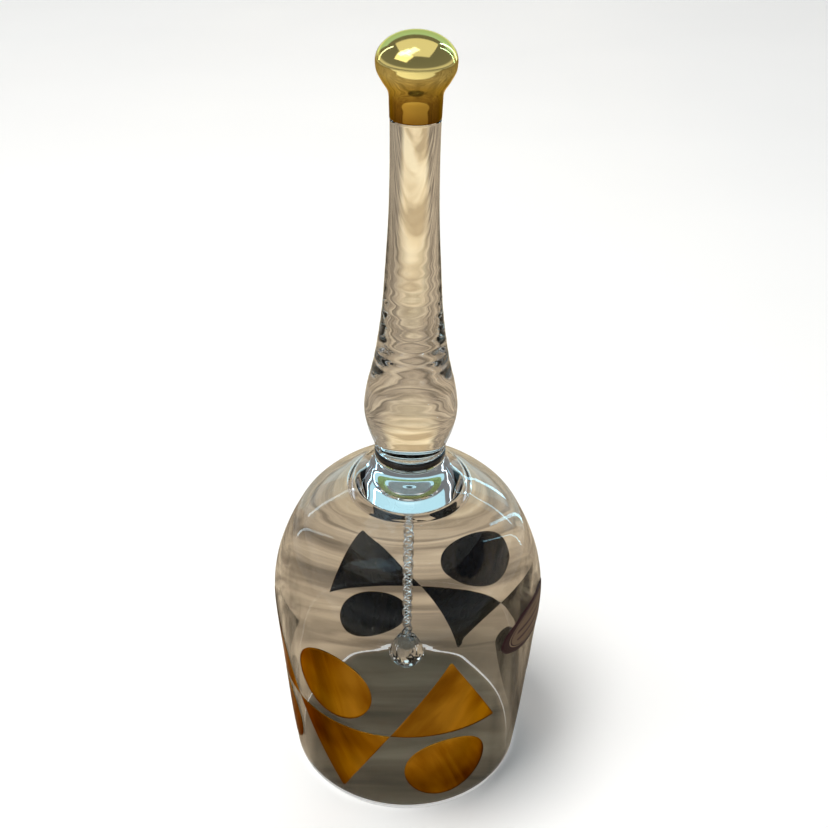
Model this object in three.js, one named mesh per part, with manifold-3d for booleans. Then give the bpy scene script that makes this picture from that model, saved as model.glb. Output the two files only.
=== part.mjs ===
// Glass hand bell: a blown bowl with a solid crown, a solid glass handle with a gilded knob,
// a black ring at the neck, gilded shapes round the bowl, and a crystal clapper on a fine chain.
// Millimetres, +Z up. The origin is the centre of the rim, on the plane that the bell stands on.

import * as THREE from 'three';
import { mergeVertices } from 'three/addons/utils/BufferGeometryUtils.js';
import { ConvexGeometry } from 'three/addons/geometries/ConvexGeometry.js';
import Module from 'manifold-3d';

const wasm = await Module();
wasm.setup();

// ---- Driving dimensions ----

const GAP = 0.3;                    // clearance between neighbouring solids
const RIM_RADIUS = 33;              // outside of the bowl's lip
const LIP_FLAT = [32.05, 32.75];    // inner and outer radius of the flat that the bell stands on
const LIP_HEIGHT = 0.7;             // height over which the lip rounds into the wall
const WALL = 1.35;                  // thickness of the wall up to the shoulder
const SHOULDER_START = 68;
const SHOULDER_TOP = 92.7;          // where the inside leaves the outer wall's line
const SHOULDER_GROWTH = 4.8;        // thickening from the shoulder's start to its top
const SHOULDER_POWER = 2.6;         // how late in that rise the thickening comes
const CROWN_INSIDE = 88;            // height of the boss in the bowl's ceiling, above the clapper
const BOSS_RADIUS = 7.5;
const CEILING_RADIUS = 13.7;
const CEILING_SLOPE = 0.2;          // rise of the ceiling from the boss out to its edge
const CEILING_TURN = 0.5;           // where the ceiling starts to turn down into the wall
const NECK_RADIUS = 9.3;
const NECK_TOP = 100.3;             // flat top of the bowl's crown

const RING_HEIGHT = 1.8;
const RING_INNER_RADIUS = 7.6;
const RING_RADIUS = 9.35;

const COLLAR_HEIGHT = 191;          // lower edge of the gilding
const KNOB_HEIGHT = 203.5;          // widest level of the knob
const KNOB_RADIUS = 9.15;
const KNOB_DOME = 6.5;              // rise of the knob above its widest level
const GILDING = 0.4;                // thickness of the gilded skin

const SKIN = 0.3;                   // thickness of a gilded shape or the label on the wall
const BAND_LINE = 31.9;             // the level that all the triangles' bases lie on
const TRIANGLE_SPAN = 49;           // degrees of the wall that a triangle's base covers
const TRIANGLE_HEIGHT = 27.2;
const TRIANGLE_TIP = 0.6;           // width of a triangle's blunt tip
const DOT_RADIUS = 11.9;
const DOT_OFFSET = 26.1;            // degrees from a triangle's corner to its dot's centre
const DOT_RISE = 14.5;              // from the band line to a dot's centre
const BAND_START = -6.5;            // azimuth of the front corner where two triangles meet

const LABEL_AZIMUTH = 65.6;
const LABEL_HEIGHT = 57.3;
const LABEL_HALF_WIDTH = 15.5;
const LABEL_HALF_HEIGHT = 6.3;

const WASHER_RADII = [4.6, 6.5];
const WASHER_THICKNESS = 1.2;
const PAD_THICKNESS = 1.5;
const PAD_RADII = [1.1, 4.3];
const EYE_STEM_RADIUS = 0.7;
const EYE_WIRE = 0.35;              // wire radii from here on
const EYE_LOOP = 1.35;
const EYE_CENTRE = 83.6;

const LINK_COUNT = 19;
const LINK_WIRE = 0.375;
const LINK_INSIDE_LENGTH = 2.6;
const LINK_INSIDE_WIDTH = 2.15;
const CHAIN_TURN = Math.PI / 4;     // the links' planes stand at 45 degrees to X and Y

const DROP_RING_WIRE = 0.3;
const DROP_RING_RADIUS = 1.8;
const DROP_HOLE_RADIUS = 0.8;
const DROP_HOLE_HEIGHT = 11.7;      // above the lowest facet of the crystal
const DROP_LUG = 0.8;               // half the thickness of the crystal's flattened top
const DROP_LUG_START = 10.4;
const DROP_CUT = [6, 12, 6];        // block that flattens one side of the crystal's top

const ROUND_STEPS = 40;

// ---- Materials ----

const clearGlass = () => new THREE.MeshStandardMaterial({
  color: 0xe8efec, roughness: 0.03, metalness: 0, transparent: true, opacity: 0.35,
});
const gold = () => new THREE.MeshStandardMaterial({ color: 0xd29a2c, roughness: 0.15, metalness: 1 });
const brass = () => new THREE.MeshStandardMaterial({ color: 0xb3a24a, roughness: 0.3, metalness: 1 });
const silver = () => new THREE.MeshStandardMaterial({ color: 0xc9ccce, roughness: 0.25, metalness: 1 });
const darkSteel = () => new THREE.MeshStandardMaterial({ color: 0x3a3836, roughness: 0.35, metalness: 1 });
const blackEnamel = () => new THREE.MeshStandardMaterial({ color: 0x0c0a0a, roughness: 0.2, metalness: 0 });
const whitePad = () => new THREE.MeshStandardMaterial({ color: 0xe9eceb, roughness: 0.6, metalness: 0 });
const crystal = () => new THREE.MeshStandardMaterial({
  color: 0xf4f8fa, roughness: 0.01, metalness: 0, transparent: true, opacity: 0.35,
});
const labelPaper = () => new THREE.MeshStandardMaterial({ color: 0xc9a878, roughness: 0.5, metalness: 0 });

// ---- Helpers ----

const object = new THREE.Group();

function addPart(name, geometry, material, parent = object) {
  const mesh = new THREE.Mesh(geometry, material);
  mesh.name = name;
  parent.add(mesh);
  return mesh;
}

const point = (radius, height) => new THREE.Vector2(radius, height);
const smooth = (points, steps) => new THREE.SplineCurve(points).getPoints(steps);

// A solid of revolution about Z from a (radius, height) outline that runs up its outside.
function turned(outline, steps = ROUND_STEPS) {
  return new THREE.LatheGeometry(outline, steps).rotateX(Math.PI / 2);
}

function tube(innerRadius, outerRadius, bottom, top, steps = ROUND_STEPS) {
  return turned([
    point(innerRadius, bottom), point(outerRadius, bottom),
    point(outerRadius, top), point(innerRadius, top), point(innerRadius, bottom),
  ], steps);
}

function toManifold(geometry) {
  const bare = geometry.clone();
  bare.deleteAttribute('normal');
  bare.deleteAttribute('uv');
  const merged = mergeVertices(bare, 1e-4);
  return new wasm.Manifold(new wasm.Mesh({
    numProp: 3,
    vertProperties: new Float32Array(merged.attributes.position.array),
    triVerts: new Uint32Array(merged.index.array),
  }));
}

function fromManifold(solid) {
  const mesh = solid.getMesh();
  const geometry = new THREE.BufferGeometry();
  geometry.setAttribute('position', new THREE.BufferAttribute(new Float32Array(mesh.vertProperties), 3));
  geometry.setIndex(new THREE.BufferAttribute(new Uint32Array(mesh.triVerts), 1));
  return geometry;
}

// ---- Bowl ----

const outerWall = smooth([
  point(RIM_RADIUS, LIP_HEIGHT), point(34.4, 14.6), point(36, 35.4), point(37.4, 55.5), point(36.6, 64.6),
  point(34.4, 71.9), point(31.6, 78.2), point(28.5, 83.4), point(23.3, 88.6), point(17.6, 92.8),
  point(13.4, 95.2), point(10.6, 97.4), point(NECK_RADIUS, 99.6),
], 26);

// The wall is thin and even up to the shoulder and thickens from there to the crown.
function wallThickness(height) {
  const share = Math.max(height - SHOULDER_START, 0) / (SHOULDER_TOP - SHOULDER_START);
  return WALL + SHOULDER_GROWTH * share ** SHOULDER_POWER;
}

// The boss is level, and round it the ceiling rises as a shallow cone.
function onCeiling(radius) {
  return point(radius, CROWN_INSIDE + CEILING_SLOPE * Math.max(radius - BOSS_RADIUS, 0));
}

// The inside, from the boss to the lip: the ceiling turns down into the wall in a small round
// corner, and the wall follows the outside at its thickness.
function innerWallCurve() {
  const below = outerWall.filter((p) => p.y <= SHOULDER_TOP);
  const offset = below.map((p, i) => {
    const tangent = outerWall[i + 1].clone().sub(outerWall[Math.max(i - 1, 0)]).normalize();
    const thickness = wallThickness(p.y);
    return point(p.x - tangent.y * thickness, p.y + tangent.x * thickness);
  });
  offset[0].y = LIP_HEIGHT;
  const [start, bend] = [onCeiling(CEILING_RADIUS - CEILING_TURN), onCeiling(CEILING_RADIUS)];
  const turn = new THREE.QuadraticBezierCurve(start, bend, offset.at(-1));
  return [onCeiling(BOSS_RADIUS), ...turn.getPoints(4), ...offset.reverse().slice(1)];
}

const innerWall = innerWallCurve();

function bowl() {
  return turned([
    point(0, CROWN_INSIDE), ...innerWall,
    point(LIP_FLAT[0], 0), point(LIP_FLAT[1], 0),
    ...outerWall, point(NECK_RADIUS, NECK_TOP), point(0, NECK_TOP),
  ]);
}

// Outside radius of the bowl at a height, between the outline's own points.
function wallRadius(height) {
  const above = outerWall.findIndex((p) => p.y >= height);
  const low = outerWall[Math.max(above - 1, 0)];
  const high = outerWall[above];
  const share = high === low ? 0 : (height - low.y) / (high.y - low.y);
  return THREE.MathUtils.lerp(low.x, high.x, share);
}

// ---- Neck ring, handle and gilded knob ----

const ringBottom = NECK_TOP + GAP;
const ringTop = ringBottom + RING_HEIGHT;
const footHeight = ringTop + GAP;
const spigotRadius = RING_INNER_RADIUS - GAP;

// The knob's outside: out of the collar, round the belly and over the dome, inset by a depth.
function knobOutline(inset) {
  const lower = smooth([
    point(5.95, COLLAR_HEIGHT), point(6.05, 194), point(6.3, 196.9), point(7.8, 199.4), point(8.9, 201.6),
    point(KNOB_RADIUS, KNOB_HEIGHT),
  ], 9);
  const dome = new THREE.EllipseCurve(0, KNOB_HEIGHT, KNOB_RADIUS, KNOB_DOME, 0, Math.PI / 2).getPoints(6);
  return [...lower, ...dome.slice(1, -1)].map((p) => point(p.x - inset, p.y - inset * dropShare(p.y)));
}

// An inset lowers the dome by its full depth at the top and leaves the collar's level alone.
function dropShare(height) {
  return THREE.MathUtils.clamp((height - KNOB_HEIGHT) / KNOB_DOME, 0, 1);
}

const knobTop = KNOB_HEIGHT + KNOB_DOME;

function handle() {
  const grip = smooth([
    point(9.2, footHeight), point(9.5, 104.6), point(11.1, 109.5), point(12, 114.7), point(11.35, 120.9),
    point(9.4, 129.6), point(7.65, 141.8), point(6.75, 154.3), point(6.05, 166.8), point(5.8, 179.4),
    point(5.85, COLLAR_HEIGHT - GAP),
  ], 24);
  const core = knobOutline(GILDING + GAP);
  return turned([
    point(0, ringBottom), point(spigotRadius, ringBottom), point(spigotRadius, footHeight),
    ...grip, ...core, point(0, knobTop - GILDING - GAP),
  ], 32);
}

function goldFinial() {
  return turned([
    point(0, knobTop - GILDING), ...knobOutline(GILDING).reverse(),
    ...knobOutline(0), point(0, knobTop),
  ], 32);
}

// ---- Shapes on the wall ----

// Bends a flat piece round the bowl: x runs along the wall from an azimuth, z up it from a height,
// and y, from 0 to 1, goes from the skin's inside to its outside. Azimuth 0 faces -Y and grows to +X.
function wrapOnWall(geometry, azimuth, height) {
  const position = geometry.attributes.position;
  const start = THREE.MathUtils.degToRad(azimuth);
  const midRadius = wallRadius(height);
  for (let i = 0; i < position.count; i += 1) {
    const z = height + position.getZ(i);
    const radius = wallRadius(z) + GAP + SKIN * position.getY(i);
    const angle = start + position.getX(i) / midRadius;
    position.setXYZ(i, radius * Math.sin(angle), -radius * Math.cos(angle), z);
  }
  return turnedOver(geometry);
}

// Wrapping sends +Y outward, which mirrors the piece, so its faces are turned over again.
function turnedOver(geometry) {
  const index = geometry.index;
  for (let i = 0; i < index.count; i += 3) {
    const first = index.getX(i);
    index.setX(i, index.getX(i + 1));
    index.setX(i + 1, first);
  }
  return geometry;
}

// A flat disc with two rings of inner points, so that it can bend; y goes from 0 to 1.
function flatDisc(halfWidth, halfHeight, steps) {
  const outline = [
    point(0, 0), point(0.4, 0), point(0.75, 0), point(1, 0),
    point(1, 1), point(0.75, 1), point(0.4, 1), point(0, 1),
  ];
  return new THREE.LatheGeometry(outline, steps).scale(halfWidth, 1, halfHeight);
}

function goldDot(cornerAzimuth, side) {
  const centre = cornerAzimuth + side * DOT_OFFSET;
  return wrapOnWall(flatDisc(DOT_RADIUS, DOT_RADIUS, 20), centre, BAND_LINE - side * DOT_RISE);
}

// A triangle whose base lies on the band line. Side 1 runs to the right of its corner and points up;
// side -1 runs to the left and points down.
function goldTriangle(cornerAzimuth, side) {
  const base = THREE.MathUtils.degToRad(TRIANGLE_SPAN) * wallRadius(BAND_LINE);
  const geometry = new THREE.BoxGeometry(1, 1, 1, 8, 1, 6);
  const position = geometry.attributes.position;
  for (let i = 0; i < position.count; i += 1) {
    const across = position.getX(i) + 0.5;
    const up = position.getZ(i) + 0.5;
    const fromBase = side > 0 ? up : 1 - up;
    const onBase = (across - 0.5) * base;
    const onTip = (across - 0.5) * TRIANGLE_TIP;
    const x = side * base / 2 + THREE.MathUtils.lerp(onBase, onTip, fromBase);
    position.setXYZ(i, x, position.getY(i) + 0.5, side * fromBase * TRIANGLE_HEIGHT);
  }
  return wrapOnWall(geometry, cornerAzimuth, BAND_LINE);
}

function ovalLabel() {
  const disc = flatDisc(LABEL_HALF_WIDTH, LABEL_HALF_HEIGHT, 24);
  return wrapOnWall(disc, LABEL_AZIMUTH, LABEL_HEIGHT);
}

// ---- Clapper ----

// A round wire ring standing in the X-Z plane, pulled apart into a link by a straight stretch.
function wireLoop(radius, wire, straight, centreHeight, steps) {
  const geometry = new THREE.TorusGeometry(radius, wire, 6, steps).rotateX(Math.PI / 2);
  const position = geometry.attributes.position;
  for (let i = 0; i < position.count; i += 1) {
    const side = Math.sign(Math.round(position.getZ(i) * 1e4));
    position.setZ(i, position.getZ(i) + side * straight / 2);
  }
  return geometry.translate(0, 0, centreHeight);
}

const ceiling = CROWN_INSIDE - GAP;
const eyeLow = EYE_CENTRE - EYE_LOOP;

function anchorEye() {
  const stemTop = ceiling;
  const stemLow = EYE_CENTRE + EYE_LOOP - EYE_WIRE / 2;
  const stem = new THREE.CylinderGeometry(EYE_STEM_RADIUS, EYE_STEM_RADIUS, stemTop - stemLow, 12);
  stem.rotateX(Math.PI / 2).translate(0, 0, (stemTop + stemLow) / 2);
  const loop = wireLoop(EYE_LOOP, EYE_WIRE, 0, EYE_CENTRE, 16);
  return fromManifold(toManifold(stem).add(toManifold(loop)));
}

const linkHalfInside = LINK_INSIDE_LENGTH / 2;
const linkPitch = LINK_INSIDE_LENGTH - GAP;
const firstLinkCentre = eyeLow + EYE_WIRE + GAP - linkHalfInside;
const linkCentre = (number) => firstLinkCentre - (number - 1) * linkPitch;
const lastLinkLow = linkCentre(LINK_COUNT) - linkHalfInside - LINK_WIRE;

function chainLink(number) {
  const endRadius = LINK_INSIDE_WIDTH / 2 + LINK_WIRE;
  const straight = LINK_INSIDE_LENGTH - LINK_INSIDE_WIDTH;
  return wireLoop(endRadius, LINK_WIRE, straight, linkCentre(number), 14);
}

const dropRingCentre = lastLinkLow + LINK_WIRE + GAP - (DROP_RING_RADIUS - DROP_RING_WIRE);
const dropPivot = dropRingCentre - DROP_RING_RADIUS;

// Rings of eight facet corners, each ring turned by half a facet from the one below it.
function crystalDrop() {
  const rings = [[1.5, 0], [4.1, 1.6], [5.25, 4.5], [4.15, 7.9], [2.4, 10.9], [1, 13.3]];
  const facets = 8;
  const bottom = dropPivot - DROP_HOLE_HEIGHT;
  const corners = rings.flatMap(([radius, height], ring) => Array.from({ length: facets }, (_, i) => {
    const angle = ((i + ring / 2) / facets) * 2 * Math.PI;
    return new THREE.Vector3(radius * Math.cos(angle), radius * Math.sin(angle), bottom + height);
  }));
  const hole = new THREE.CylinderGeometry(DROP_HOLE_RADIUS, DROP_HOLE_RADIUS, DROP_CUT[1], 16);
  hole.rotateZ(Math.PI / 2).translate(0, 0, dropPivot);
  const cheek = (side) => new THREE.BoxGeometry(...DROP_CUT)
    .translate(side * (DROP_LUG + DROP_CUT[0] / 2), 0, bottom + DROP_LUG_START + DROP_CUT[2] / 2);
  return fromManifold(toManifold(new ConvexGeometry(corners))
    .subtract(toManifold(hole))
    .subtract(toManifold(cheek(1)))
    .subtract(toManifold(cheek(-1))));
}

// ---- Assembly ----

addPart('bowl', bowl(), clearGlass());
addPart('neck_ring', tube(RING_INNER_RADIUS, RING_RADIUS, ringBottom, ringTop, 32), blackEnamel());
addPart('handle', handle(), clearGlass());
addPart('gold_finial', goldFinial(), gold());

// The band: a pair of triangles that share a corner, then a gap, then a single triangle whose far
// corner meets the next pair. The same three shapes come again on the other side of the bowl.
const pairToSingle = 180 - 2 * TRIANGLE_SPAN;
const bandShapes = [0, 180].flatMap((turn) => [
  { corner: BAND_START + turn, side: -1 },
  { corner: BAND_START + turn, side: 1 },
  { corner: BAND_START + turn + pairToSingle, side: 1 },
]);
bandShapes.forEach(({ corner, side }, i) => {
  addPart(`gold_triangle_${i + 1}`, goldTriangle(corner, side), gold());
  addPart(`gold_dot_${i + 1}`, goldDot(corner, side), gold());
});
addPart('oval_label', ovalLabel(), labelPaper());

const washerBottom = ceiling - WASHER_THICKNESS;
addPart('anchor_washer', tube(WASHER_RADII[0], WASHER_RADII[1], washerBottom, ceiling, 24), brass());
addPart('anchor_pad', tube(PAD_RADII[0], PAD_RADII[1], ceiling - PAD_THICKNESS, ceiling, 20), whitePad());

const clapper = new THREE.Group();
clapper.rotation.z = CHAIN_TURN;
object.add(clapper);
addPart('anchor_eye', anchorEye(), darkSteel(), clapper);
for (let number = 1; number <= LINK_COUNT; number += 1) {
  const name = `chain_link_${String(number).padStart(2, '0')}`;
  const link = addPart(name, chainLink(number), silver(), clapper);
  link.rotation.z = number % 2 === 1 ? Math.PI / 2 : 0;
}
const dropRing = wireLoop(DROP_RING_RADIUS, DROP_RING_WIRE, 0, dropRingCentre, 18);
addPart('crystal_ring', dropRing, darkSteel(), clapper);
addPart('crystal_drop', crystalDrop(), crystal(), clapper);

export default object;
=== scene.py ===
"""Looks of the glass hand bell: a blown glass bowl and handle, gilded shapes, a paper label,
a black neck ring, and a crystal clapper on a fine silver chain. Metres, +Z up.
"""
import math
import random

import bmesh
import bpy
import numpy as np
from mathutils import Matrix, Vector


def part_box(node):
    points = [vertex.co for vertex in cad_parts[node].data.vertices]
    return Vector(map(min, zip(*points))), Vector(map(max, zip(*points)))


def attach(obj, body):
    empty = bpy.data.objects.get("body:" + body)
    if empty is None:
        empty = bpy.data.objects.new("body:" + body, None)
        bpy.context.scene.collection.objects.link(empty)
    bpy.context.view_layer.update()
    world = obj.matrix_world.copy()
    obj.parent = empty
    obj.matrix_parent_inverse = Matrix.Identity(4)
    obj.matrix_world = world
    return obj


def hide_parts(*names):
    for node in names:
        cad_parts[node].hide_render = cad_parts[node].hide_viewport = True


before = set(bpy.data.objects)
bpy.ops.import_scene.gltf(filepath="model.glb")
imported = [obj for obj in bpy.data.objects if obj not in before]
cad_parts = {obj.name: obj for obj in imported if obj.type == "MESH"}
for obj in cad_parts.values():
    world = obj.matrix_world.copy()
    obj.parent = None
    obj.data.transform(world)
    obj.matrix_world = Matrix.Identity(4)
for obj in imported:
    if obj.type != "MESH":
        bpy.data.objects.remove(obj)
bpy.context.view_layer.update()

# ---- Driving dimensions ----

MM = 0.001
AROUND = 192                # facets round a large turned piece
HANDLE_AROUND = 128

# (radius, height) points in millimetres, through which the glass runs smoothly
OUTER_WALL = [
    (33, 0.7), (34.4, 14.6), (36, 35.4), (37.4, 55.5), (36.6, 64.6), (34.4, 71.9), (31.6, 78.2),
    (28.5, 83.4), (23.3, 88.6), (17.6, 92.8), (13.4, 95.2), (10.6, 97.4), (9.3, 99.6),
]
WALL = 1.35                 # thickness of the wall up to the shoulder
SHOULDER_START = 68
SHOULDER_TOP = 92.7         # where the inside leaves the outer wall's line
SHOULDER_GROWTH = 4.8       # thickening from the shoulder's start to its top
SHOULDER_POWER = 2.6        # how late in the shoulder the thickening comes
CEILING = 88                # the level boss that the anchor is glued to
BOSS_RADIUS = 7.5
CEILING_RADIUS = 13.7
CEILING_SLOPE = 0.2         # rise of the ceiling from the boss out to its edge
CEILING_TURN = 0.5          # where the ceiling starts to turn down into the wall
LIP_FLAT = (32.05, 32.75)   # inner and outer radius of the flat that the bell stands on
LIP_ROUNDING = 0.5
LIP_HEIGHT = OUTER_WALL[0][1]
GRIP = [
    (9.2, 102.7), (9.5, 104.6), (11.1, 109.5), (12, 114.7), (11.35, 120.9), (9.4, 129.6),
    (7.65, 141.8), (6.75, 154.3), (6.05, 166.8), (5.8, 179.4), (5.85, 190.7),
]
KNOB_LOWER = [(5.95, 191), (6.05, 194), (6.3, 196.9), (7.8, 199.4), (8.9, 201.6), (9.15, 203.5)]
KNOB_DOME = 6.5             # height of the dome over the knob's widest place
GILDING = 0.4
GLASS_GAP = 0.3             # between the gilding and the glass core of the knob
SPIGOT_RADIUS = 7.3         # the handle's foot inside the neck ring
JACK_RINGS_AT = 136         # middle of the faint rings round the handle
JACK_RINGS_REACH = 16
JACK_RINGS_DEPTH = 0.032

SKIN_GAP = 0.03             # a gilded shape floats this far off the glass
SKIN_THICKNESS = 0.05
LABEL_THICKNESS = 0.12
BOND = 0.03                 # bonded pieces reach this far into each other, with no air between
GLUED = CEILING + BOND      # top of the anchor's pieces
STROKE_UNIT = 10            # millimetres of wall to one unit of the gilding's brush strokes
STROKE_RADIUS = 36          # radius that turns an azimuth into a length along the wall

LINK_AZIMUTH = math.radians(45)     # plane of the anchor's eye and of the crystal's hole
EYE_WIRE = 0.35                     # radius of the eye's wire
EYE_LOOP = 1.35                     # radius of the middle of its loop
EYE_STEM = 0.7

# Radius, as a share of the widest, and rise, as a share of the height, of each row of facets
DROP_ROWS = [
    (0.2, 0), (0.62, 0.07), (0.9, 0.2), (1.0, 0.34), (0.93, 0.47), (0.76, 0.62), (0.55, 0.77),
    (0.36, 0.9), (0.19, 1.0),
]
DROP_FACETS = 12
DROP_HOLE = 0.8             # radius of the hole through the lug
DROP_HOLE_RISE = 11.7
LUG_HALF = 0.8              # half thickness of the lug
LUG_RISE = 10.4             # where the lug starts
DROP_BEVEL = 0.06
CUTTER = (6, 12, 6)         # block that takes one cheek off the lug

CAMERA_PLACE = (0, -0.2618, 0.2786)
CAMERA_DIP = 32.41          # degrees below level
CAMERA_YAW = -0.19
CAMERA_ROLL = 1.07
FOCAL_LENGTH = 52.17


# ---- Outlines ----

def spline(points, per_span=10):
    """A Catmull-Rom curve through (radius, height) points, as the CAD model's outlines are."""
    p = np.array(points, float)
    p = np.vstack([p[0], p, p[-1]])
    out = []
    for a, b, c, d in zip(p, p[1:], p[2:], p[3:]):
        for t in np.arange(per_span) / per_span:
            out.append(0.5 * (2 * b + (c - a) * t + (2 * a - 5 * b + 4 * c - d) * t**2
                              + (3 * b - a - 3 * c + d) * t**3))
    out.append(p[-1])
    return out


def rounded(outline, radius, sharp=40, steps=5):
    """The outline with each corner sharper than so many degrees turned into a small arc."""
    points = [np.array(q, float) for q in outline]
    out = [points[0]]
    for before, corner, after in zip(points, points[1:], points[2:]):
        arm_in, arm_out = before - corner, after - corner
        long_in, long_out = np.linalg.norm(arm_in), np.linalg.norm(arm_out)
        cosine = np.clip(np.dot(-arm_in, arm_out) / (long_in * long_out), -1, 1)
        if math.degrees(math.acos(cosine)) < sharp:
            out.append(corner)
            continue
        reach = min(radius, long_in / 2, long_out / 2)
        start, end = corner + arm_in / long_in * reach, corner + arm_out / long_out * reach
        for t in np.linspace(0, 1, steps):
            out.append((1 - t) ** 2 * start + 2 * t * (1 - t) * corner + t**2 * end)
    return out + [points[-1]]


def inner_wall(outer):
    """The inside of the bowl, from the boss down to the lip. The solid crown hangs a little way
    down into the bowl, and from the crown's edge the inside follows the outer wall."""
    outer = np.array(outer)
    tangents = np.gradient(outer, axis=0)
    tangents /= np.linalg.norm(tangents, axis=1)[:, None]
    heights = outer[:, 1]
    shoulder = np.maximum(heights - SHOULDER_START, 0) / (SHOULDER_TOP - SHOULDER_START)
    thickness = WALL + SHOULDER_GROWTH * shoulder**SHOULDER_POWER
    offset = outer + thickness[:, None] * np.column_stack([-tangents[:, 1], tangents[:, 0]])
    offset = offset[heights <= SHOULDER_TOP]
    last = offset[-1]
    start = np.array(on_ceiling(CEILING_RADIUS - CEILING_TURN))
    bend = np.array(on_ceiling(CEILING_RADIUS))
    turn = [(1 - t) ** 2 * start + 2 * t * (1 - t) * bend + t**2 * last for t in np.linspace(0, 1, 12)]
    cone = [on_ceiling(radius) for radius in np.linspace(0, start[0], 24)[:-1]]
    return [*cone, *turn, *offset[-2::-1]]


def on_ceiling(radius):
    """The boss is level, and round it the ceiling rises as a shallow cone."""
    return radius, CEILING + CEILING_SLOPE * max(0, radius - BOSS_RADIUS)


outer_curve = spline(OUTER_WALL)
inner_curve = inner_wall(outer_curve)
outer_table = np.array(outer_curve)


def hand_blown(azimuth, height, turn=0.0):
    """How far blown glass strays from round at a place, in millimetres."""
    return (0.035 * math.sin(2 * azimuth + height / 21 + turn)
            + 0.015 * math.sin(3 * azimuth - height / 13 + 2 * turn)
            + 0.006 * math.sin(5 * azimuth + height / 7 + 3 * turn))


def wall_radius(azimuth, height):
    """Outside of the bowl, in millimetres. Azimuth 0 faces -Y and grows towards +X."""
    return np.interp(height, outer_table[:, 1], outer_table[:, 0]) + hand_blown(azimuth, height)


def on_wall(azimuth, height, off):
    radius = (wall_radius(azimuth, height) + off) * MM
    return radius * math.sin(azimuth), -radius * math.cos(azimuth), height * MM


# ---- Mesh helpers ----

def make_object(name, vertices, faces, materials, smooth=True):
    mesh = bpy.data.meshes.new(name)
    mesh.from_pydata([tuple(v) for v in vertices], [], faces)
    mesh.polygons.foreach_set("use_smooth", [smooth] * len(mesh.polygons))
    for material in materials:
        mesh.materials.append(material)
    mesh.update()
    piece = bpy.data.objects.new(name, mesh)
    bpy.context.scene.collection.objects.link(piece)
    return piece


def turned(name, outline, materials, around=AROUND, wobble=None, closed=False, slot_of=None):
    """A solid of revolution about Z. The outline runs up its outside, from axis to axis or round
    a closed loop. wobble(azimuth, step) gives millimetres to add to the radius at a step."""
    points = [tuple(p) for p in outline]
    vertices, rings = [], []
    for step, (radius, height) in enumerate(points):
        if radius < 1e-6:
            rings.append([len(vertices)] * around)
            vertices.append((0, 0, height * MM))
            continue
        rings.append(range(len(vertices), len(vertices) + around))
        for i in range(around):
            azimuth = 2 * math.pi * i / around
            r = (radius + (wobble(azimuth, step) if wobble else 0)) * MM
            vertices.append((r * math.sin(azimuth), -r * math.cos(azimuth), height * MM))
    faces, slots = [], []
    steps = len(points) if closed else len(points) - 1
    for step in range(steps):
        low, high = rings[step], rings[(step + 1) % len(points)]
        for i in range(around):
            j = (i + 1) % around
            corners = list(dict.fromkeys([low[i], low[j], high[j], high[i]]))
            if len(corners) > 2:
                faces.append(corners)
                slots.append(slot_of(step) if slot_of else 0)
    piece = make_object(name, vertices, faces, materials)
    piece.data.polygons.foreach_set("material_index", slots)
    return piece


def add_body(piece, node, body="glass_body"):
    """The piece stands for a CAD node and rides where it rode."""
    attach(piece, body)
    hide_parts(node)
    return piece


def node_points(node):
    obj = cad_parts[node]
    return np.array([obj.matrix_world @ v.co for v in obj.data.vertices]) / MM


# ---- Material helpers ----

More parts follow.
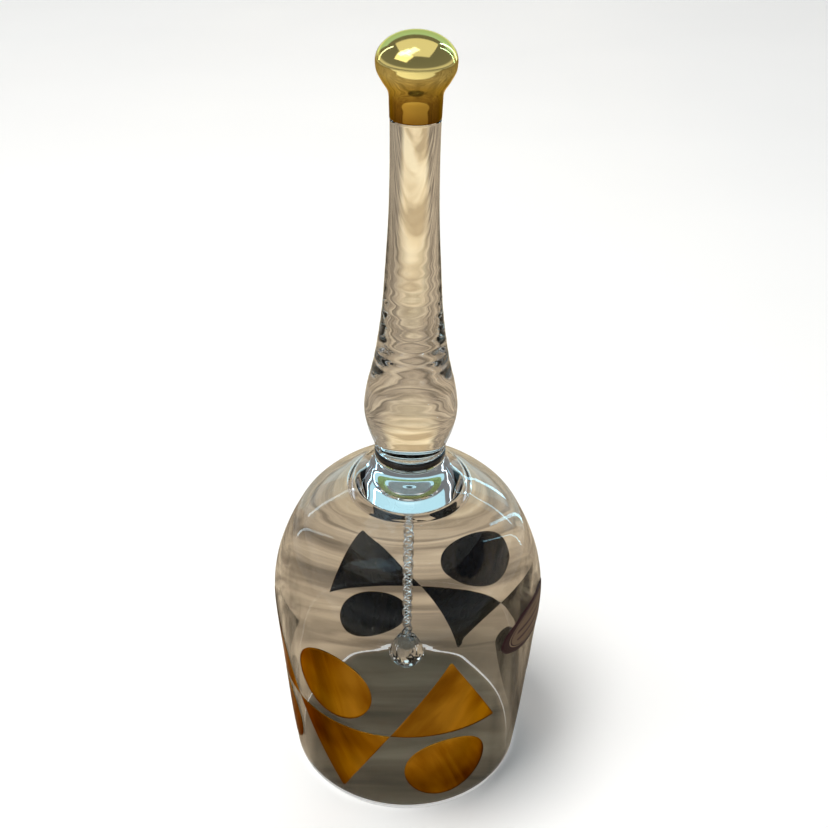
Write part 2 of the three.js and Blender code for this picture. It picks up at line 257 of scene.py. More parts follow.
class Nodes:
    """A material's node tree, with short calls to add and join nodes."""

    def __init__(self, name):
        self.material = bpy.data.materials.new(name)
        self.material.use_nodes = True
        self.tree = self.material.node_tree
        self.tree.nodes.clear()
        self.shader = self.add("ShaderNodeBsdfPrincipled")
        out = self.add("ShaderNodeOutputMaterial")
        self.link(self.shader.outputs[0], out.inputs["Surface"])

    def add(self, kind, **settings):
        node = self.tree.nodes.new(kind)
        for key, value in settings.items():
            if key in node.inputs:
                node.inputs[key].default_value = value
            else:
                setattr(node, key, value)
        return node

    def link(self, source, target):
        self.tree.links.new(source, target)

    def set(self, **sockets):
        for key, value in sockets.items():
            self.shader.inputs[key.replace("_", " ")].default_value = value

    def coordinates(self, kind="Object", scale=(1, 1, 1)):
        source = self.add("ShaderNodeTexCoord").outputs[kind]
        mapping = self.add("ShaderNodeMapping", Scale=scale)
        self.link(source, mapping.inputs["Vector"])
        return mapping.outputs["Vector"]

    def noise(self, where, scale, detail=3.0, roughness=0.5, distortion=0.0):
        node = self.add("ShaderNodeTexNoise", Scale=scale, Detail=detail, Roughness=roughness,
                        Distortion=distortion)
        self.link(where, node.inputs["Vector"])
        return node.outputs["Fac"]

    def ramp(self, factor, stops):
        node = self.add("ShaderNodeValToRGB")
        set_stops(node, stops)
        self.link(factor, node.inputs["Fac"])
        return node.outputs["Color"]

    def remap(self, factor, low, high, start=0.3, end=0.7):
        node = self.add("ShaderNodeMapRange", **{"From Min": start, "From Max": end,
                                                 "To Min": low, "To Max": high})
        self.link(factor, node.inputs["Value"])
        return node.outputs["Result"]

    def weighted(self, factor, weight, base):
        """The factor times a weight, added to a base."""
        node = self.add("ShaderNodeMath", operation="MULTIPLY_ADD")
        node.inputs[1].default_value = weight
        self.link(factor, node.inputs[0])
        self.link(base, node.inputs[2])
        return node.outputs[0]

    def mixed(self, factor, first, second, blend="MIX"):
        """Two colours, mixed by a factor that is a number or comes from another node."""
        node = self.add("ShaderNodeMixRGB", blend_type=blend)
        if isinstance(factor, float):
            node.inputs[0].default_value = factor
        else:
            self.link(factor, node.inputs[0])
        self.link(first, node.inputs[1])
        if isinstance(second, tuple):
            node.inputs[2].default_value = (*second, 1)
        else:
            self.link(second, node.inputs[2])
        return node.outputs[0]

    def bump(self, height, strength, distance):
        node = self.add("ShaderNodeBump", Strength=strength, Distance=distance)
        self.link(height, node.inputs["Height"])
        self.link(node.outputs["Normal"], self.shader.inputs["Normal"])


def set_stops(node, stops):
    """Gives a colour ramp its (place, colour) stops."""
    band = node.color_ramp.elements
    while len(band) < len(stops):
        band.new(0.5)
    for element, (place, colour) in zip(band, stops):
        element.position = place
        element.color = (*colour, 1)


def grey(value):
    return (value, value, value)


# ---- Materials ----

GLASS_IOR = 1.5
CRYSTAL_IOR = 1.58


def clear_glass():
    """Hand-worked clear glass: smooth, with faint drawn streaks that bend its reflections. The
    tint keeps its plain reflections faint, so that what lies behind it stays dark."""
    n = Nodes("clear_glass")
    n.set(Transmission_Weight=1.0, IOR=GLASS_IOR, Base_Color=(0.96, 0.95, 0.93, 1),
          Specular_Tint=(0.3, 0.33, 0.35, 1))
    where = n.coordinates(scale=(1, 1, 0.35))
    n.bump(n.noise(where, 60, detail=2), 0.035, 0.0004)
    n.link(n.remap(n.noise(where, 240, detail=4), 0.0, 0.03), n.shader.inputs["Roughness"])
    return n.material


def ground_lip():
    """The lip's flat, ground and half polished. A faint glow stands in for the light that it
    catches all round."""
    n = Nodes("ground_lip")
    grain = n.noise(n.coordinates(), 1500, detail=3)
    n.link(n.ramp(grain, [(0.3, grey(0.9)), (0.7, grey(1.0))]), n.shader.inputs["Base Color"])
    n.link(n.remap(grain, 0.25, 0.45), n.shader.inputs["Roughness"])
    n.set(Transmission_Weight=0.2, IOR=GLASS_IOR, Emission_Color=(1, 1, 1, 1), Emission_Strength=0.3)
    n.bump(grain, 0.2, 0.00005)
    return n.material


def fired_gold():
    """Bright fired gold, brushed on: amber with darker strokes where it is thinner."""
    n = Nodes("fired_gold")
    n.set(Metallic=1.0, Specular_Tint=(0.5, 0.27, 0.08, 1))
    where = n.coordinates("UV", scale=(1, 0.16, 1))
    strokes = n.noise(where, 1.3, detail=5, roughness=0.55, distortion=0.8)
    cloud = n.noise(n.coordinates("UV", scale=(0.4, 0.4, 1)), 1.0, detail=2)
    share = n.weighted(cloud, 0.6, n.remap(strokes, 0, 0.4, 0, 1))
    n.link(n.ramp(share, [(0.36, (0.15, 0.05, 0.004)), (0.47, (0.46, 0.2, 0.015)),
                                     (0.58, (0.72, 0.37, 0.04))]), n.shader.inputs["Base Color"])
    n.link(n.remap(strokes, 0.26, 0.12), n.shader.inputs["Roughness"])
    n.bump(strokes, 0.1, 0.0002)
    return n.material


def knob_gold():
    """The thicker gilding of the knob, close to a mirror. Its colour carries painted shade and a painted
    highlight: dark brown low on the collar, bright yellow over the dome.
    """
    n = Nodes("knob_gold")
    n.set(Metallic=1.0, Specular_Tint=(0.8, 0.68, 0.4, 1))
    where = n.coordinates(scale=(1, 1, 0.5))
    wear = n.noise(where, 160, detail=5)
    # Painted light: the base colour runs from dark brown at the foot of the collar to bright yellow at the
    # top, painted shade below and a painted highlight above, with random wear mixed in.
    rise = n.add("ShaderNodeSeparateXYZ")
    n.link(n.add("ShaderNodeTexCoord").outputs["Object"], rise.inputs[0])
    up = n.remap(rise.outputs["Z"], 0, 1, KNOB_LOWER[0][1] * MM, KNOB_LOWER[-1][1] * MM)
    share = n.weighted(wear, 0.25, up)
    n.link(n.ramp(share, [(0.1, (0.2, 0.085, 0.008)), (0.5, (0.42, 0.23, 0.03)),
                                     (0.78, (0.75, 0.52, 0.1)), (1.0, (0.88, 0.72, 0.26))]),
           n.shader.inputs["Base Color"])
    n.link(n.remap(wear, 0.14, 0.06), n.shader.inputs["Roughness"])
    n.bump(n.noise(where, 90, detail=2), 0.06, 0.0003)
    return n.material


def gold_back():
    """The side of the gilding that is fired to the glass, painted a dark glossy brown: a painted
    reflection of the dark surroundings that this side shows from inside the bell.
    """
    n = Nodes("gold_back")
    where = n.coordinates("UV", scale=(1, 0.3, 1))
    cloud = n.noise(where, 5, detail=4, distortion=0.4)
    # Painted reflection: the near-black browns stand in for the dark surroundings that this side reflects;
    # the cloud only varies them at random.
    n.link(n.ramp(cloud, [(0.35, (0.005, 0.002, 0.001)), (0.5, (0.012, 0.005, 0.002)),
                          (0.68, (0.014, 0.009, 0.016))]), n.shader.inputs["Base Color"])
    n.link(n.remap(cloud, 0.06, 0.14), n.shader.inputs["Roughness"])
    n.set(Specular_IOR_Level=0.15)
    return n.material


def black_enamel():
    n = Nodes("black_enamel")
    where = n.coordinates()
    mottle = n.noise(where, 400, detail=3)
    n.link(n.ramp(mottle, [(0.4, grey(0.004)), (0.7, (0.016, 0.012, 0.011))]),
           n.shader.inputs["Base Color"])
    n.link(n.remap(mottle, 0.12, 0.3), n.shader.inputs["Roughness"])
    n.bump(mottle, 0.1, 0.0001)
    return n.material


def plated_metal(name, dark, light, rough):
    """A plated wire: cleaner in random patches, with fine drawing marks."""
    n = Nodes(name)
    n.set(Metallic=1.0)
    where = n.coordinates()
    wear = n.noise(where, 2600, detail=3)
    n.link(n.ramp(wear, [(0.35, dark), (0.6, light)]), n.shader.inputs["Base Color"])
    n.link(n.remap(wear, rough + 0.12, rough), n.shader.inputs["Roughness"])
    n.bump(wear, 0.15, 0.00005)
    return n.material


def anchor_pad_plastic():
    n = Nodes("anchor_pad_plastic")
    where = n.coordinates()
    grain = n.noise(where, 700, detail=4)
    n.link(n.ramp(grain, [(0.3, (0.62, 0.68, 0.69)), (0.7, (0.82, 0.86, 0.86))]),
           n.shader.inputs["Base Color"])
    n.link(n.remap(grain, 0.35, 0.55), n.shader.inputs["Roughness"])
    n.bump(grain, 0.2, 0.0001)
    return n.material


def cut_crystal():
    n = Nodes("cut_crystal")
    n.set(Transmission_Weight=1.0, IOR=CRYSTAL_IOR, Base_Color=(0.97, 0.985, 1.0, 1))
    where = n.coordinates()
    n.link(n.remap(n.noise(where, 500, detail=3), 0.0, 0.04), n.shader.inputs["Roughness"])
    return n.material


def label_paper():
    """A beige oval with a dark purple border, a fine pale line and plain rules across its middle."""
    n = Nodes("label_paper")
    uv = n.add("ShaderNodeTexCoord").outputs["UV"]
    length = n.add("ShaderNodeVectorMath", operation="LENGTH")
    n.link(uv, length.inputs[0])
    from_middle = length.outputs["Value"]
    purple, cream, beige = (0.035, 0.006, 0.01), (0.34, 0.24, 0.15), (0.2, 0.125, 0.075)
    border = n.ramp(from_middle, [(0.0, beige), (0.74, beige), (0.745, purple), (0.775, purple),
                                  (0.78, cream), (0.8, cream), (0.805, purple), (1.0, purple)])
    wave = n.add("ShaderNodeTexWave", wave_type="BANDS", bands_direction="Y", Scale=0.75, Distortion=0)
    n.link(uv, wave.inputs["Vector"])
    rules = n.add("ShaderNodeMath", operation="MULTIPLY")
    n.link(n.remap(wave.outputs["Fac"], 0, 0.85, 0.72, 0.8), rules.inputs[0])
    n.link(n.remap(from_middle, 1, 0, 0.6, 0.62), rules.inputs[1])
    printed = n.mixed(rules.outputs[0], border, purple)
    fibre = n.noise(n.coordinates("UV", scale=(1, 3, 1)), 24, detail=6)
    shade = n.ramp(fibre, [(0.3, grey(0.78)), (0.7, grey(1.05))])
    n.link(n.mixed(1.0, printed, shade, "MULTIPLY"), n.shader.inputs["Base Color"])
    n.link(n.remap(fibre, 0.38, 0.6), n.shader.inputs["Roughness"])
    n.set(Specular_IOR_Level=0.25)
    n.bump(fibre, 0.2, 0.0001)
    return n.material


def pale_floor():
    n = Nodes("pale_floor")
    where = n.coordinates()
    n.link(n.ramp(n.noise(where, 3, detail=3), [(0.3, (0.9, 0.9, 0.895)), (0.7, (0.93, 0.93, 0.925))]),
           n.shader.inputs["Base Color"])
    n.set(Roughness=0.7, Specular_IOR_Level=0.2)
    return n.material


def taupe_card():
    """Brushed taupe card, with a painted pool of light: warmer and paler in a patch behind the object."""
    n = Nodes("taupe_card")
    streaks = n.noise(n.coordinates(scale=(7, 70, 1)), 1.0, detail=5, distortion=0.7)
    taupe = n.ramp(streaks, [(0.34, (0.14, 0.108, 0.073)), (0.5, (0.31, 0.245, 0.17)),
                             (0.66, (0.52, 0.425, 0.3))])
    broad = n.noise(n.coordinates(scale=(3, 16, 1)), 1.0, detail=2, distortion=0.5)
    beige = n.ramp(broad, [(0.36, (0.5, 0.37, 0.2)), (0.5, (0.78, 0.62, 0.37)),
                           (0.62, (0.93, 0.79, 0.52))])
    # Painted pool of light: a warm pale patch on the card behind the object, fading out from its middle.
    patch = n.add("ShaderNodeMapping", vector_type="TEXTURE", Location=(0, 0.65, 0), Scale=(0.24, 0.5, 1))
    n.link(n.add("ShaderNodeTexCoord").outputs["Object"], patch.inputs["Vector"])
    glow = n.add("ShaderNodeTexGradient", gradient_type="SPHERICAL")
    n.link(patch.outputs["Vector"], glow.inputs["Vector"])
    behind = n.remap(glow.outputs["Fac"], 0, 0.9, 0, 0.3)
    n.link(n.mixed(behind, taupe, beige), n.shader.inputs["Base Color"])
    n.set(Roughness=0.9)
    return n.material


GLASS = clear_glass()
GROUND_LIP = ground_lip()
GOLD = fired_gold()
KNOB_GOLD = knob_gold()
GOLD_BACK = gold_back()
ENAMEL = black_enamel()
SILVER = plated_metal("silver_plate", (0.8, 0.81, 0.82), (0.97, 0.975, 0.98), 0.1)
DARK_STEEL = plated_metal("dark_steel", (0.05, 0.045, 0.04), (0.2, 0.19, 0.18), 0.25)
BRASS = plated_metal("anchor_brass", (0.3, 0.3, 0.1), (0.6, 0.58, 0.24), 0.16)
PAD = anchor_pad_plastic()
CRYSTAL = cut_crystal()
LABEL = label_paper()


# ---- Glass ----

def glass_bowl():
    lip_corners = [inner_curve[-1], (LIP_FLAT[0], 0), (LIP_FLAT[1], 0), outer_curve[0]]
    lip = rounded(lip_corners, LIP_ROUNDING)[1:-1]
    neck_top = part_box("bowl")[1].z / MM
    neck = rounded([outer_curve[-1], (OUTER_WALL[-1][0], neck_top), (0, neck_top)], 0.2)[1:]
    outline = [*inner_curve, *lip, *outer_curve, *neck]
    first_lip = len(inner_curve)
    first_neck = len(outline) - len(neck)

    def wobble(azimuth, step):
        """The inside strays in its own way, except near the lip and the axis."""
        radius, height = outline[step]
        if step >= first_neck:
            return 0
        outside = hand_blown(azimuth, height)
        if step >= first_lip:
            return outside
        share = min(1, max(0, height - LIP_HEIGHT) / 8)
        inside = min(1, radius / 15) * hand_blown(azimuth, height, turn=0.9)
        return outside + (inside - outside) * share

    def slot_of(step):
        return 1 if first_lip - 1 <= step <= first_lip + len(lip) - 1 else 0

    return turned("glass_bowl", outline, [GLASS, GROUND_LIP], wobble=wobble, slot_of=slot_of)


def glass_handle():
    low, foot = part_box("bowl")[1].z / MM - BOND, GRIP[0][1]
    spigot = rounded([(0, low), (SPIGOT_RADIUS, low), (SPIGOT_RADIUS, foot), GRIP[0], GRIP[1]], 0.45)[:-1]
    grip = spline(GRIP, 16)[6:]
    core = knob_outline(GILDING + GLASS_GAP)
    outline = [*spigot, *grip, *core]
    first_grip, first_core = len(spigot), len(spigot) + len(grip)

    def wobble(azimuth, step):
        """Faint rings left by the jacks that drew the grip out, strongest above the bulb."""
        if not first_grip <= step < first_core:
            return 0
        height = outline[step][1]
        fade = math.exp(-((height - JACK_RINGS_AT) / JACK_RINGS_REACH) ** 2)
        return fade * JACK_RINGS_DEPTH * math.sin(height * 1.7 + 0.8 * math.sin(azimuth * 2 + 1))

    return turned("glass_handle", outline, [GLASS], around=HANDLE_AROUND, wobble=wobble)


def knob_outline(inset):
    """The knob from its collar over the dome to the axis, inset by a depth in millimetres."""
    widest, level = KNOB_LOWER[-1]
    angles = np.linspace(0, math.pi / 2, 24)[1:]
    dome = [(widest * math.cos(a), level + KNOB_DOME * math.sin(a)) for a in angles]
    out = []
    for radius, height in [*spline(KNOB_LOWER, 8), *dome]:
        drop = inset * np.clip((height - level) / KNOB_DOME, 0, 1)
        out.append((max(radius - inset, 0), height - drop))
    out[-1] = (0, out[-1][1])
    return out


def gilded_knob():
    outside, inside = knob_outline(0), knob_outline(GILDING)
    outline = [*inside[::-1], *outside]
    first_outside = len(inside) - 1
    return turned("gilded_knob", outline, [KNOB_GOLD, GOLD_BACK], around=HANDLE_AROUND,
                  slot_of=lambda step: 0 if step >= first_outside else 1)


def ring_of(name, node, material, edge, around=96, top=None):
    """A flat ring with rounded edges that fills a CAD ring node's box, or reaches up to a top."""
    points = node_points(node)
    radii = np.hypot(points[:, 0], points[:, 1])
    inner, outer = radii.min(), radii.max()
    low, high = points[:, 2].min(), top or points[:, 2].max()
    corners = [(inner, low), (outer, low), (outer, high), (inner, high)]
    loop = rounded([corners[-1], *corners, corners[0]], edge)[1:-1]
    return turned(name, loop, [material], around=around, closed=True)


# ---- Shapes on the wall ----

def wall_skin(name, rows, materials, thickness=SKIN_THICKNESS, wrap=False):
    """A thin closed skin over rows of (azimuth, height, u, v) places on the bowl. Its outside
    takes the first material and its inside the last. wrap closes each row on itself."""
    wide = len(rows[0])
    flat = [place for row in rows for place in row]
    vertices = [on_wall(a, h, SKIN_GAP + off) for off in (thickness, 0) for a, h, _, _ in flat]
    below = len(flat)
    faces, slots = [], []
    spans = wide if wrap else wide - 1

    def add(corners, slot):
        corners = list(dict.fromkeys(corners))
        if len(corners) > 2:
            faces.append(corners)
            slots.append(slot)

    for r in range(len(rows) - 1):
        for i in range(spans):
            j = (i + 1) % wide
            a, b, c, d = r * wide + i, r * wide + j, (r + 1) * wide + j, (r + 1) * wide + i
            add([a, b, c, d], 0)
            add([below + d, below + c, below + b, below + a], 1)
    border = border_loop(len(rows), wide, wrap)
    for a, b in zip(border, border[1:] + border[:1]):
        add([b, a, below + a, below + b], 0)
    piece = make_object(name, vertices, faces, materials)
    piece.data.polygons.foreach_set("material_index", [min(s, len(materials) - 1) for s in slots])
    uv = piece.data.uv_layers.new(name="wall")
    for loop in piece.data.loops:
        _, _, u, v = flat[loop.vertex_index % below]
        uv.data[loop.index].uv = (u, v)
    merge_coincident(piece)
    return piece


def merge_coincident(piece):
    work = bmesh.new()
    work.from_mesh(piece.data)
    bmesh.ops.remove_doubles(work, verts=work.verts, dist=0.001 * MM)
    work.to_mesh(piece.data)
    work.free()


def border_loop(rows, wide, wrap):
    """Indices round the edge of a grid of places, in the order that its faces turn."""
    if wrap:
        return list(range(wide))
    bottom = list(range(wide))
    right = [r * wide + wide - 1 for r in range(1, rows)]
    top = [(rows - 1) * wide + i for i in range(wide - 2, -1, -1)]
    left = [r * wide for r in range(rows - 2, 0, -1)]
    return bottom + right + top + left


def wall_place(node):
    """Azimuths in radians and heights in millimetres of a CAD node's corners on the wall."""
    points = node_points(node)
    middle = math.atan2(points[:, 0].mean(), -points[:, 1].mean())
    azimuths = np.arctan2(points[:, 0], -points[:, 1])
    azimuths = middle + (azimuths - middle + math.pi) % (2 * math.pi) - math.pi
    return azimuths, points[:, 2]


def gold_triangle(number):
    node = f"gold_triangle_{number}"
    azimuths, heights = wall_place(node)
    left, right = azimuths.min(), azimuths.max()
    base = heights[np.argmin(azimuths)]
    tip = heights.max() if base < heights.mean() else heights.min()
    middle, half = (left + right) / 2, (right - left) / 2
    tip_half = 0.008
    rows = []
    for up in np.linspace(0, 1, 41):
        if tip < base:
            up = 1 - up
        reach = half + (tip_half - half) * up
        height = base + (tip - base) * up
        places = middle + reach * np.linspace(-1, 1, 49)
        rows.append([(azimuth, height, *stroke_place(number, azimuth, height)) for azimuth in places])
    return wall_skin(f"gilt_triangle_{number}", rows, [GOLD, GOLD_BACK])


def gold_dot(number):
    node = f"gold_dot_{number}"
    azimuths, heights = wall_place(node)
    middle, level = (azimuths.min() + azimuths.max()) / 2, (heights.min() + heights.max()) / 2
    half, rise = (azimuths.max() - azimuths.min()) / 2, (heights.max() - heights.min()) / 2
    return oval_skin(f"gilt_dot_{number}", middle, level, half, rise, [GOLD, GOLD_BACK],
                     lambda a, h, x, y: stroke_place(number + 6, a, h))


def oval_skin(name, middle, level, half, rise, materials, uv_of, thickness=SKIN_THICKNESS, rings=16):
    """An oval on the wall, from its edge in to its centre."""
    rows = []
    for share in np.linspace(1, 0, rings + 1):
        row = []
        for turn in np.linspace(0, 2 * math.pi, 96, endpoint=False):
            x, y = share * math.cos(turn), share * math.sin(turn)
            azimuth, height = middle + half * x, level + rise * y
            row.append((azimuth, height, *uv_of(azimuth, height, x, y)))
        rows.append(row)
    return wall_skin(name, rows, materials, thickness, wrap=True)


def stroke_place(number, azimuth, height):
    """Where a place lies in the brush strokes of its shape, which run their own way on each."""
    turn = random.Random(number).uniform(-0.7, 0.7)
    x, y = azimuth * STROKE_RADIUS / STROKE_UNIT, height / STROKE_UNIT
    return (x * math.cos(turn) - y * math.sin(turn) + number * 3,
            x * math.sin(turn) + y * math.cos(turn))


def paper_label():
    azimuths, heights = wall_place("oval_label")
    middle, level = (azimuths.min() + azimuths.max()) / 2, (heights.min() + heights.max()) / 2
    half, rise = (azimuths.max() - azimuths.min()) / 2, (heights.max() - heights.min()) / 2
    return oval_skin("paper_label", middle, level, half, rise, [LABEL],
                     lambda a, h, x, y: (x, y), thickness=LABEL_THICKNESS)


# ---- Clapper ----

def wire_oval(name, centre, reach, half_height, wire, azimuth, material, around=48, section=14):
    """A link of round wire standing upright: straight sides with half-round ends."""
    straight = half_height - reach
    side = Vector((math.cos(azimuth), math.sin(azimuth), 0))
    vertices, faces = [], []
    for i in range(around):
        a = 2 * math.pi * i / around
        out = side * math.cos(a) + Vector((0, 0, 1)) * math.sin(a)
        lift = straight * (1 if math.sin(a) > 1e-6 else -1 if math.sin(a) < -1e-6 else 0)
        middle = Vector(centre) + out * (reach - wire) + Vector((0, 0, lift))
        across = side.cross(Vector((0, 0, 1)))
        for k in range(section):
            b = 2 * math.pi * k / section
            vertices.append((middle + out * wire * math.cos(b) + across * wire * math.sin(b)) * MM)
            j, m = (i + 1) % around, (k + 1) % section
            faces.append((i * section + k, i * section + m, j * section + m, j * section + k))
    return make_object(name, vertices, faces, [material])


def link_like(name, node, material):
    """A smooth wire link in the place of a CAD link or ring."""
    points = node_points(node)
    level = (points[:, 2].min() + points[:, 2].max()) / 2
    radii = np.hypot(points[:, 0], points[:, 1])
    widest = points[np.argmax(radii)]
    azimuth = math.atan2(widest[1], widest[0])
    along = points[:, 0] * math.cos(azimuth) + points[:, 1] * math.sin(azimuth)
    across = points[:, 0] * -math.sin(azimuth) + points[:, 1] * math.cos(azimuth)
    half_height = (points[:, 2].max() - points[:, 2].min()) / 2
    reach, wire = np.abs(along).max(), across.max()
    return wire_oval(name, (0, 0, level), reach, half_height, wire, azimuth, material)


def cut_with(piece, cutters, operation="DIFFERENCE"):
    for cutter in cutters:
        change = piece.modifiers.new("cut", "BOOLEAN")
        change.operation, change.object, change.solver = operation, cutter, "EXACT"
        bpy.context.view_layer.objects.active = piece
        bpy.ops.object.modifier_apply(modifier=change.name)
        bpy.data.objects.remove(cutter)


def block(name, size):
    work = bmesh.new()
    bmesh.ops.create_cube(work, size=1)
    bmesh.ops.scale(work, vec=Vector(size) * MM, verts=work.verts)
    return from_bmesh(name, work)


def rod(name, radius, length, centre, azimuth, segments=32):
    """A level round rod along an azimuth, measured from +X."""
    work = bmesh.new()
    bmesh.ops.create_cone(work, cap_ends=True, segments=segments, radius1=radius * MM, radius2=radius * MM,
                          depth=length * MM)
    bmesh.ops.rotate(work, matrix=Vector((0, 0, 1)).rotation_difference(
        Vector((math.cos(azimuth), math.sin(azimuth), 0))).to_matrix(), verts=work.verts)
    bmesh.ops.translate(work, vec=Vector(centre) * MM, verts=work.verts)
    return from_bmesh(name, work)


def from_bmesh(name, work, materials=()):
    mesh = bpy.data.meshes.new(name)
    bmesh.ops.recalc_face_normals(work, faces=work.faces)
    work.to_mesh(mesh)
    work.free()
    for material in materials:
        mesh.materials.append(material)
    piece = bpy.data.objects.new(name, mesh)
    bpy.context.scene.collection.objects.link(piece)
    return piece


def crystal():
    """A pear-cut drop: twelve facets round each row, with a flat lug at the top for its hole."""
    points = node_points("crystal_drop")
    bottom, top = points[:, 2].min(), points[:, 2].max()
    widest = np.hypot(points[:, 0], points[:, 1]).max()
    work = bmesh.new()
    for row, (reach, rise) in enumerate(DROP_ROWS):
        for i in range(DROP_FACETS):
            a = (i + row / 2) / DROP_FACETS * 2 * math.pi
            work.verts.new(Vector((reach * widest * math.cos(a), reach * widest * math.sin(a),
                                   bottom + rise * (top - bottom))) * MM)
    made = bmesh.ops.convex_hull(work, input=work.verts)
    unused = {v for v in made["geom_interior"] if isinstance(v, bmesh.types.BMVert)}
    bmesh.ops.delete(work, geom=list(unused), context="VERTS")
    piece = from_bmesh("cut_crystal_drop", work, [CRYSTAL])
    hole = rod("hole", DROP_HOLE, 12, (0, 0, bottom + DROP_HOLE_RISE), LINK_AZIMUTH)
    cut_with(piece, [cheek(side, bottom) for side in (1, -1)] + [hole])
    bevel = piece.modifiers.new("bevel", "BEVEL")
    bevel.width, bevel.segments, bevel.limit_method = DROP_BEVEL * MM, 2, "ANGLE"
    bevel.angle_limit = math.radians(8)
    bpy.context.view_layer.objects.active = piece
    bpy.ops.object.modifier_apply(modifier=bevel.name)
    return piece


def cheek(side, bottom):
    """The block that takes the drop's glass off one side of its lug."""
    deep, _, tall = CUTTER
    piece = block("cheek", CUTTER)
    place = shifted(side * (LUG_HALF + deep / 2), 0, bottom + LUG_RISE + tall / 2)
    piece.data.transform(turn_about_z(LINK_AZIMUTH) @ place)
    return piece


def turn_about_z(angle):
    return Matrix.Rotation(angle, 4, "Z")


def shifted(x, y, z):
    return Matrix.Translation(Vector((x, y, z)) * MM)


def anchor_eye():
    """A wire loop on a stem that is glued under the crown."""
    centre = node_points("anchor_eye")[:, 2].min() + EYE_WIRE + EYE_LOOP
    reach = EYE_LOOP + EYE_WIRE
    eye = wire_oval("anchor_eye_loop", (0, 0, centre), reach, reach, EYE_WIRE, LINK_AZIMUTH, DARK_STEEL)
    stem_low = centre + EYE_LOOP - EYE_WIRE / 2
    outline = rounded([(0, stem_low), (EYE_STEM, stem_low), (EYE_STEM, GLUED), (0, GLUED)], 0.15)
    cut_with(eye, [turned("stem", outline, [DARK_STEEL], around=32)], "UNION")
    return eye


# ---- Build ----

add_body(glass_bowl(), "bowl")
add_body(glass_handle(), "handle")
add_body(gilded_knob(), "gold_finial")
neck_ring = ring_of("black_neck_ring", "neck_ring", ENAMEL, 0.5, AROUND)
add_body(neck_ring, "neck_ring")
for number in range(1, 7):
    add_body(gold_triangle(number), f"gold_triangle_{number}")
    add_body(gold_dot(number), f"gold_dot_{number}")
add_body(paper_label(), "oval_label")
washer = ring_of("brass_anchor_washer", "anchor_washer", BRASS, 0.3, top=GLUED)
add_body(washer, "anchor_washer")
pad = ring_of("white_anchor_pad", "anchor_pad", PAD, 0.4, top=GLUED)
add_body(pad, "anchor_pad")
add_body(anchor_eye(), "anchor_eye")
for node in sorted(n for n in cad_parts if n.startswith("chain_link_")):
    add_body(link_like(node.replace("chain", "silver"), node, SILVER), node, node)
crystal_ring = link_like("dark_crystal_ring", "crystal_ring", DARK_STEEL)
add_body(crystal_ring, "crystal_ring", "crystal_ring")
add_body(crystal(), "crystal_drop", "crystal_drop")


# ---- Stage, light and camera ----

def floor():
    half, under = 4.0, -0.0002
    corners = [(-half, -half, under), (half, -half, under), (half, half, under), (-half, half, under)]
    make_object("floor", corners, [(0, 1, 2, 3)], [pale_floor()], smooth=False)


def softbox(name, place, size, power, colour, lights=True, seen=True):
    """An area light aimed at the bell. It lights matt surfaces, or is seen in glass and metal."""
    data = bpy.data.lights.new(name, "AREA")
    data.shape, data.size, data.size_y = "RECTANGLE", size[0], size[1]
    data.energy, data.color = power, colour
    light = bpy.data.objects.new(name, data)
    light.location = place
    target = Vector((0, 0, 0.08))
    light.rotation_euler = (target - Vector(place)).to_track_quat("-Z", "Y").to_euler()
    light.visible_camera = False
    light.visible_diffuse = lights
    light.visible_glossy = light.visible_transmission = seen
    bpy.context.scene.collection.objects.link(light)


def card(name, start, end, seen_through_glass):
    """A round taupe card, or a sector of one, just over the floor. It shows only through the clear
    glass, or only in reflections, and gives the glass its body and its dark edges. The camera, the
    light and the shadows pass it by."""
    reach, under = 1.2, -0.0001
    angles = np.linspace(start, end, 65)[:-1]
    rim = [(reach * math.cos(a), reach * math.sin(a), under) for a in angles]
    piece = make_object(name, rim, [range(len(rim))], [TAUPE], smooth=False)
    piece.visible_camera = piece.visible_diffuse = piece.visible_shadow = False
    piece.visible_transmission, piece.visible_glossy = seen_through_glass, not seen_through_glass


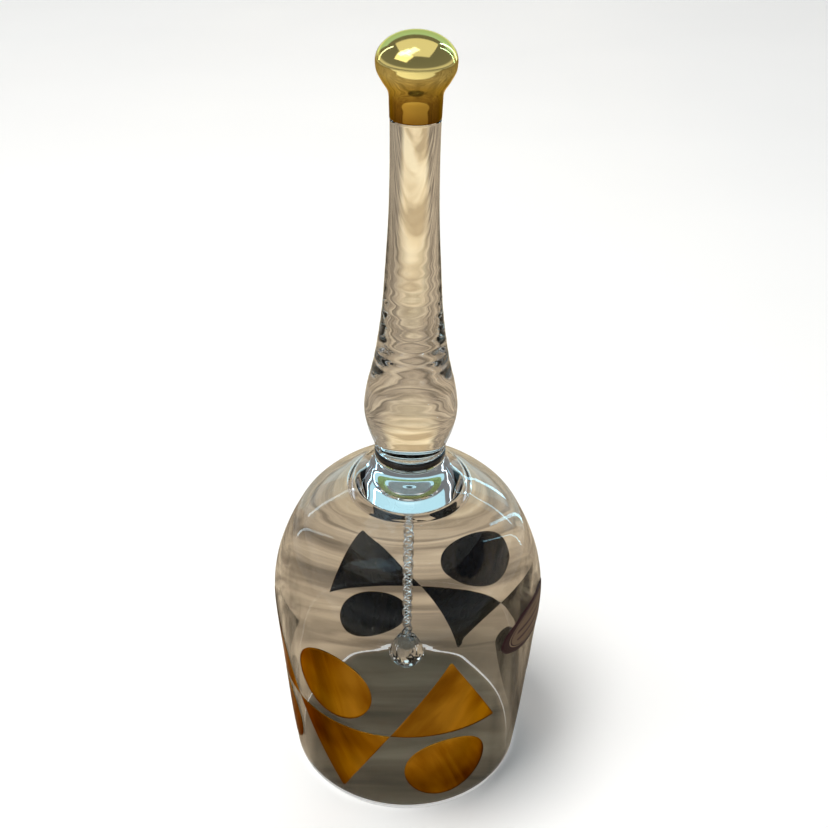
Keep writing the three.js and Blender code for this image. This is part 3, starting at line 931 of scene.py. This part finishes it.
def studio():
    world = bpy.data.worlds.new("studio")
    bpy.context.scene.world = world
    world.use_nodes = True
    tree = world.node_tree
    rise = tree.nodes.new("ShaderNodeSeparateXYZ")
    tree.links.new(tree.nodes.new("ShaderNodeTexCoord").outputs["Generated"], rise.inputs[0])
    ramp = tree.nodes.new("ShaderNodeValToRGB")
    set_stops(ramp, [(0.0, grey(0.7)), (0.06, grey(0.65)), (0.16, (0.2, 0.21, 0.22)),
                     (1.0, (0.16, 0.17, 0.18))])
    tree.links.new(rise.outputs["Z"], ramp.inputs["Fac"])
    tree.links.new(ramp.outputs["Color"], tree.nodes["Background"].inputs["Color"])
    softbox("overhead", (-0.3, -0.15, 1.1), (0.5, 0.5), 12, (1, 0.98, 0.95), seen=False)
    softbox("backdrop", (0, 1.4, 1.3), (2.0, 1.2), 16, (1, 0.99, 0.97), seen=False)
    for pane, x in enumerate((-0.44, -0.16)):
        softbox(f"window_high_{pane + 1}", (x, -0.15, 1.1), (0.24, 0.5), 0.75, (0.6, 0.82, 0.95),
                lights=False)
    softbox("window_back", (0.1, 1.2, 0.5), (2.2, 1.0), 5, (0.42, 0.85, 1), lights=False)
    softbox("window_right_1", (0.62, 0.8, 0.45), (0.05, 0.9), 1.3, (0.4, 0.78, 1), lights=False)
    softbox("window_right_2", (0.75, 0.5, 0.5), (0.02, 0.9), 0.6, (0.4, 0.78, 1), lights=False)
    softbox("window_left", (-0.7, 0.5, 0.5), (0.04, 0.8), 0.5, (0.7, 0.88, 1), lights=False)
    softbox("lamp_left", (-0.45, -0.35, 0.85), (0.6, 0.5), 1.2, (1, 0.97, 0.85), lights=False)
    softbox("sky", (0, 0.1, 1.5), (1.7, 1.7), 6, (1, 0.99, 0.92), lights=False)


def camera():
    data = bpy.data.cameras.new("camera")
    data.sensor_width, data.lens = 36, FOCAL_LENGTH
    cam = bpy.data.objects.new("camera", data)
    cam.location = CAMERA_PLACE
    yaw = Matrix.Rotation(math.radians(CAMERA_YAW), 3, "Z")
    pitch = Matrix.Rotation(math.radians(90 - CAMERA_DIP), 3, "X")
    roll = Matrix.Rotation(math.radians(CAMERA_ROLL), 3, "Z")
    cam.rotation_euler = (yaw @ pitch @ roll).to_euler()
    bpy.context.scene.collection.objects.link(cam)
    bpy.context.scene.camera = cam


TAUPE = taupe_card()
floor()
card("card_below", 0, 2 * math.pi, seen_through_glass=True)
card("card_behind", math.radians(-15), math.radians(195), seen_through_glass=False)
studio()
camera()
bpy.context.scene.view_settings.view_transform = "Standard"
